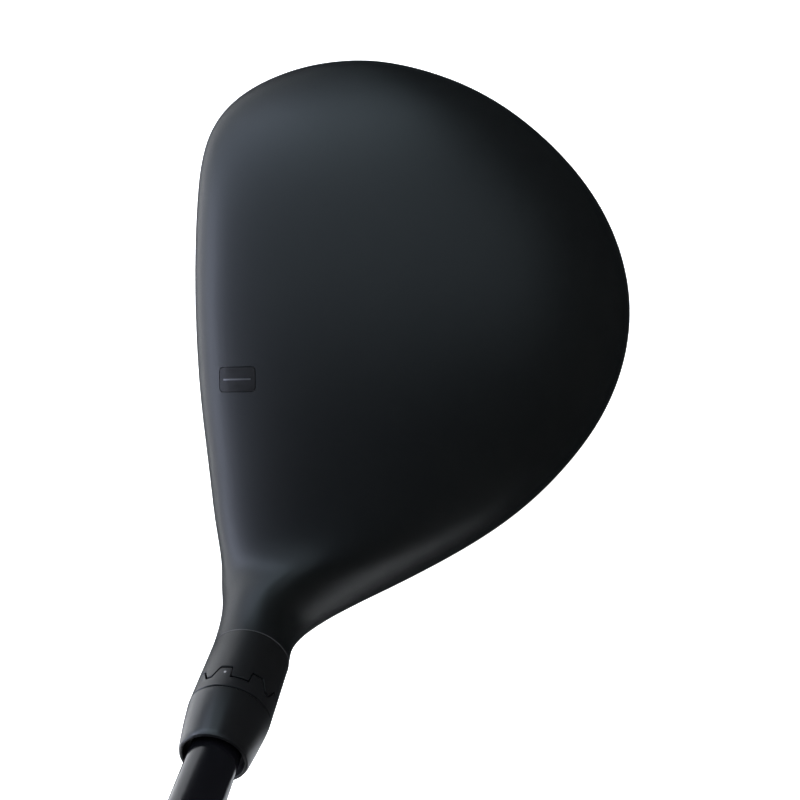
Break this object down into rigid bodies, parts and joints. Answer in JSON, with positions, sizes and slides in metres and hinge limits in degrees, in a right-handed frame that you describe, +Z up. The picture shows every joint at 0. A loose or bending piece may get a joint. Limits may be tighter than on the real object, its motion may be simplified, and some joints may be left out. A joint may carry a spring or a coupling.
{
  "type": "fairway wood",
  "caption": "Right-handed adjustable golf fairway wood: hollow matte black head, notched hosel with adapter sleeve and ferrule, gloss black shaft and rubber grip.",
  "frame": {"origin": "on the flat of the sole, where the club touches the ground at address", "axes": "+Z up; the face looks along -Y; the toe points along -X and the shaft leans towards +X at its lie angle of 57.5 degrees"},
  "size_m": [0.6897, 0.0916, 0.9275],
  "materials": {
    "steel_black": "matte",
    "crown": "matte",
    "mark": "satin",
    "face": "satin",
    "sole_cover": "gloss",
    "badge": "satin",
    "dense_metal": "satin",
    "screw_steel": "satin",
    "nylon": "matte",
    "anodised": "satin",
    "ferrule": "satin",
    "shaft": "gloss",
    "tape": "matte",
    "grip_rubber": "matte"
  },
  "bodies": {
    "shaft_unit": {"shaft": "shaft", "grip": "grip_rubber", "grip_cap": "grip_rubber", "grip_tape": "tape", "tip_plug": "nylon", "ferrule": "ferrule", "adapter_sleeve": "anodised"},
    "head": {"head_body": "steel_black", "crown_panel": "crown", "crown_mark": "mark", "face_insert": "face", "sole_panel": "sole_cover", "sole_badge": "badge", "bridge_weight": "dense_metal", "front_weight_nut": "screw_steel", "rear_weight_nut": "screw_steel", "screw_washer": "screw_steel"},
    "hosel_screw": {"hosel_screw": "screw_steel", "screw_retainer": "nylon"},
    "front_weight": {"front_weight": "dense_metal"},
    "front_weight_screw": {"front_weight_screw": "screw_steel"},
    "rear_weight": {"rear_weight": "dense_metal"},
    "rear_weight_screw": {"rear_weight_screw": "screw_steel"}
  },
  "joints": [
    {"name": "head_release", "type": "slide", "parent": "shaft_unit", "child": "head", "axis": [-0.5373, 0, -0.8434], "range_m": [0, 0.045]},
    {"name": "hosel_screw_turn", "type": "hinge", "parent": "head", "child": "hosel_screw", "pos_m": [0.04803, -0.02665, 0.01307], "axis": [-0.5373, 0, -0.8434], "continuous": true},
    {"name": "front_weight_slide", "type": "slide", "parent": "head", "child": "front_weight", "axis": [0, 0, -1], "range_m": [0, 0.0042]},
    {"name": "front_screw_turn", "type": "hinge", "parent": "front_weight", "child": "front_weight_screw", "pos_m": [-0.003, -0.0305, 0.0003], "axis": [0, 0, -1], "range_deg": [0, 2160]},
    {"name": "rear_weight_slide", "type": "slide", "parent": "head", "child": "rear_weight", "axis": [0, 0.2419, -0.9703], "range_m": [0, 0.0042]},
    {"name": "rear_screw_turn", "type": "hinge", "parent": "rear_weight", "child": "rear_weight_screw", "pos_m": [-0.003, 0.029, 0.0024], "axis": [0, 0.2419, -0.9703], "range_deg": [0, 2160]}
  ],
  "couplings": [
    {"joint": "front_screw_turn", "follows": "front_weight_slide", "rad_per_m": 8975.9},
    {"joint": "rear_screw_turn", "follows": "rear_weight_slide", "rad_per_m": 8975.9}
  ]
}
